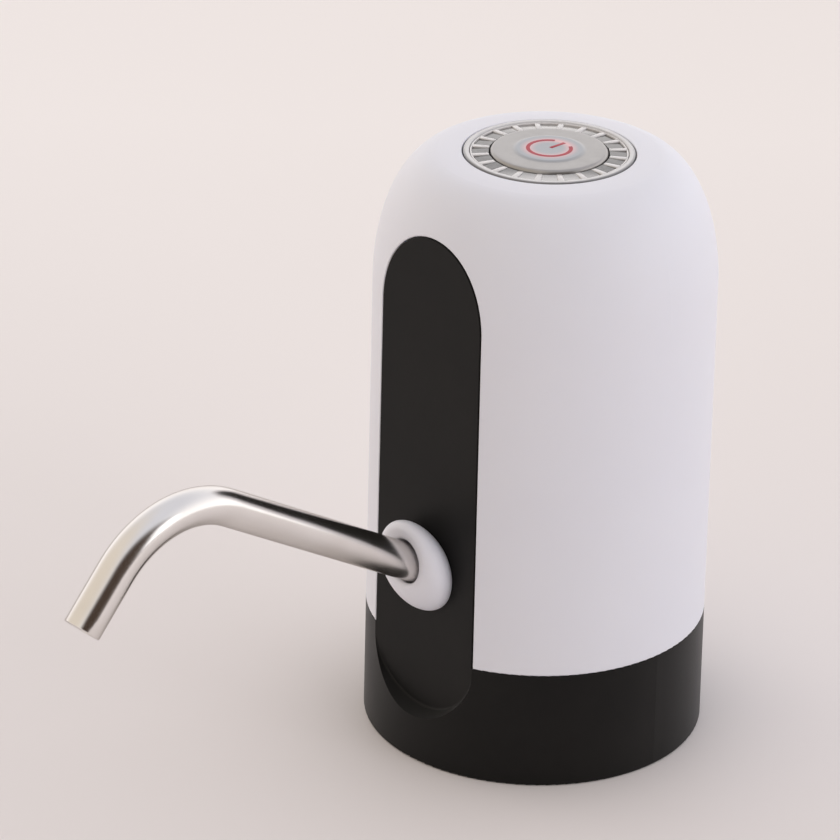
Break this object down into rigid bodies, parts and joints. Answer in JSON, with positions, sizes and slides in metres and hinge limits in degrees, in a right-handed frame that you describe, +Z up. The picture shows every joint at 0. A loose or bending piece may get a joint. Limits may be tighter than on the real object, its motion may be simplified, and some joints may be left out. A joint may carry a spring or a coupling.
{
  "type": "water jug pump",
  "caption": "Battery pump that stands on a water jug's neck: round two-colour housing, lit push button on top, bent steel spout, neck socket and hose spigot below.",
  "frame": {"origin": "centre of the open underside, in the plane the base rests on, on the axis of the neck socket", "axes": "+Z up along the housing's axis, -Y forwards where the spout points, +X to the right-hand side of a viewer who looks along +Y"},
  "size_m": [0.075, 0.1695, 0.133],
  "materials": {
    "white_shell": "satin moulded ABS",
    "black_shell": "matt moulded ABS",
    "silicone": "translucent silicone",
    "black_rubber": "matt",
    "spout_steel": "polished stainless steel",
    "button_metal": "satin, fine turned",
    "clear_plastic": "clear polished",
    "red_enamel": "gloss",
    "screw_steel": "zinc plated",
    "motor_steel": "plated",
    "magnet": "sintered",
    "brass": "bright",
    "circuit": "solder mask",
    "cell_wrap": "shrink wrap",
    "white_inner": "natural acetal"
  },
  "bodies": {
    "housing": {"base_collar": "black_shell", "upper_housing": "white_shell", "neck_gasket": "silicone", "housing_screws": "screw_steel", "intake_fitting": "white_inner", "intake_seal": "black_rubber", "pump_cover": "black_shell", "pump_valve_plate": "white_inner", "pump_diaphragm": "black_rubber", "pump_rocker": "white_inner", "pump_crankcase": "black_shell", "pump_screws": "screw_steel", "pump_mount_screws": "screw_steel", "motor_can": "motor_steel", "motor_magnets": "magnet", "motor_end_cap": "white_inner", "motor_terminals": "brass", "outlet_socket": "black_shell", "socket_screws": "screw_steel", "outlet_hose": "silicone", "spout_collar": "white_shell", "battery_cell": "cell_wrap", "battery_cradle": "black_shell", "battery_tabs": "screw_steel", "charging_board": "circuit", "charging_port": "screw_steel", "charging_port_tongue": "black_shell", "charging_board_screws": "screw_steel", "bezel_ring": "clear_plastic", "light_ring": "clear_plastic", "button_guide": "white_inner", "guide_screws": "screw_steel", "control_board": "circuit", "board_screws": "screw_steel", "indicator_lamps": "clear_plastic", "button_switch": "black_shell"},
    "spout_seal_turn": {"spout_seal": "silicone"},
    "spout": {"spout_tube": "spout_steel"},
    "button": {"button_cap": "button_metal", "power_symbol": "red_enamel"},
    "plunger": {"switch_plunger": "white_inner"},
    "rotor": {"motor_rotor": "motor_steel", "pump_crank": "white_inner"}
  },
  "joints": [
    {"name": "button_press", "type": "slide", "parent": "housing", "child": "button", "axis": [0, 0, -1], "range_m": [0, 0.0005], "stiffness_N_per_m": 1500, "springref_m": -0.0005},
    {"name": "switch_press", "type": "slide", "parent": "housing", "child": "plunger", "axis": [0, 0, -1], "range_m": [0, 0.0005]},
    {"name": "spout_swivel", "type": "hinge", "parent": "housing", "child": "spout_seal_turn", "pos_m": [0, -0.0341, 0.0455], "axis": [0, -0.8652, 0.5015], "continuous": true},
    {"name": "spout_pull_out", "type": "slide", "parent": "spout_seal_turn", "child": "spout", "axis": [0, -0.8652, 0.5015], "range_m": [0, 0.012]},
    {"name": "motor_spin", "type": "hinge", "parent": "housing", "child": "rotor", "pos_m": [0, 0.014, 0.07], "axis": [0, 0, 1], "continuous": true}
  ],
  "couplings": [
    {"joint": "switch_press", "follows": "button_press", "ratio": 1}
  ]
}
